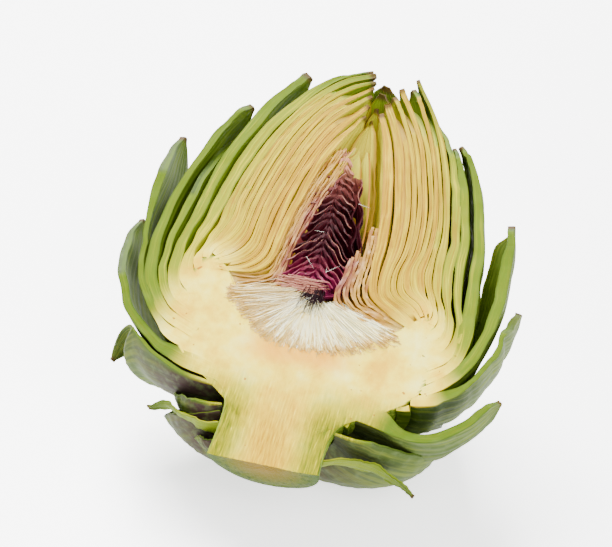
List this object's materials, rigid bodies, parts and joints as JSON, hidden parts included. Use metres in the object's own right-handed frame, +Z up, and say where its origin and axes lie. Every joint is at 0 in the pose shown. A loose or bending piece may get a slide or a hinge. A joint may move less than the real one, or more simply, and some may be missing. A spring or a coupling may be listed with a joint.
{
  "type": "globe artichoke half",
  "caption": "Globe artichoke cut in half lengthways, lying on its back with the cut face up: short stem, heart, hairy choke, violet inner leaves and layered bracts.",
  "frame": {"origin": "middle of the underside of the part's box, on the surface that it rests on", "axes": "+Z up, away from the surface; the stem points towards -Y and is tilted down, the leaf tips point towards +Y; X runs across the cut face"},
  "size_m": [0.1022, 0.1008, 0.0732],
  "materials": {
    "heart_flesh": "smooth moist cut flesh, matt green rind on the stem",
    "choke": "dense soft ivory bristles",
    "violet_leaf": "thin crisp leaf, satin",
    "inner_bract": "smooth pale leaf flesh, satin",
    "middle_bract": "smooth green leaf, satin",
    "outer_bract": "tough green leaf with a grey and purple bloom"
  },
  "bodies": {
    "root": {"heart_with_stem": "heart_flesh", "choke_bristles": "choke", "violet_inner_leaves": "violet_leaf", "cavity_bract_middle": "inner_bract", "cut_bract_right_1": "inner_bract", "cut_bract_left_1": "inner_bract", "cut_bract_right_2": "inner_bract", "cut_bract_left_2": "inner_bract", "back_bract_inner_1": "inner_bract", "margin_bract_right_1": "inner_bract", "margin_bract_left_1": "inner_bract", "cut_bract_right_3": "inner_bract", "cut_bract_left_3": "inner_bract", "margin_bract_right_2": "inner_bract", "margin_bract_left_2": "inner_bract", "cut_bract_right_4": "inner_bract", "cut_bract_left_4": "inner_bract", "back_bract_inner_2": "inner_bract", "margin_bract_right_3": "inner_bract", "margin_bract_left_3": "inner_bract", "cut_bract_right_5": "inner_bract", "cut_bract_left_5": "inner_bract", "margin_bract_right_4": "inner_bract", "margin_bract_left_4": "inner_bract", "cut_bract_right_6": "middle_bract", "cut_bract_left_6": "middle_bract", "back_bract_middle_1": "middle_bract", "cut_bract_right_7": "middle_bract", "cut_bract_left_7": "middle_bract", "back_bract_middle_2": "middle_bract", "cut_bract_right_8": "middle_bract", "cut_bract_left_8": "middle_bract", "back_bract_middle_3": "middle_bract", "cut_bract_right_9": "outer_bract", "cut_bract_left_9": "outer_bract", "back_bract_middle_4": "middle_bract", "back_bract_side_1": "outer_bract", "cut_bract_right_10": "outer_bract", "cut_bract_left_10": "outer_bract", "back_bract_outer_1": "outer_bract", "back_bract_outer_2": "outer_bract", "back_bract_side_2": "outer_bract", "cut_bract_right_11": "outer_bract", "cut_bract_left_11": "outer_bract", "back_bract_outer_3": "outer_bract", "back_bract_outer_4": "outer_bract", "cut_bract_right_12": "outer_bract", "cut_bract_left_12": "outer_bract", "low_bract_back": "outer_bract", "low_bract_right": "outer_bract", "low_bract_left": "outer_bract", "recurved_bract_left": "outer_bract", "crescent_bract_left": "outer_bract", "stem_bract_left": "outer_bract", "strap_leaf_left": "outer_bract", "strap_leaf_right": "outer_bract"}
  },
  "joints": []
}
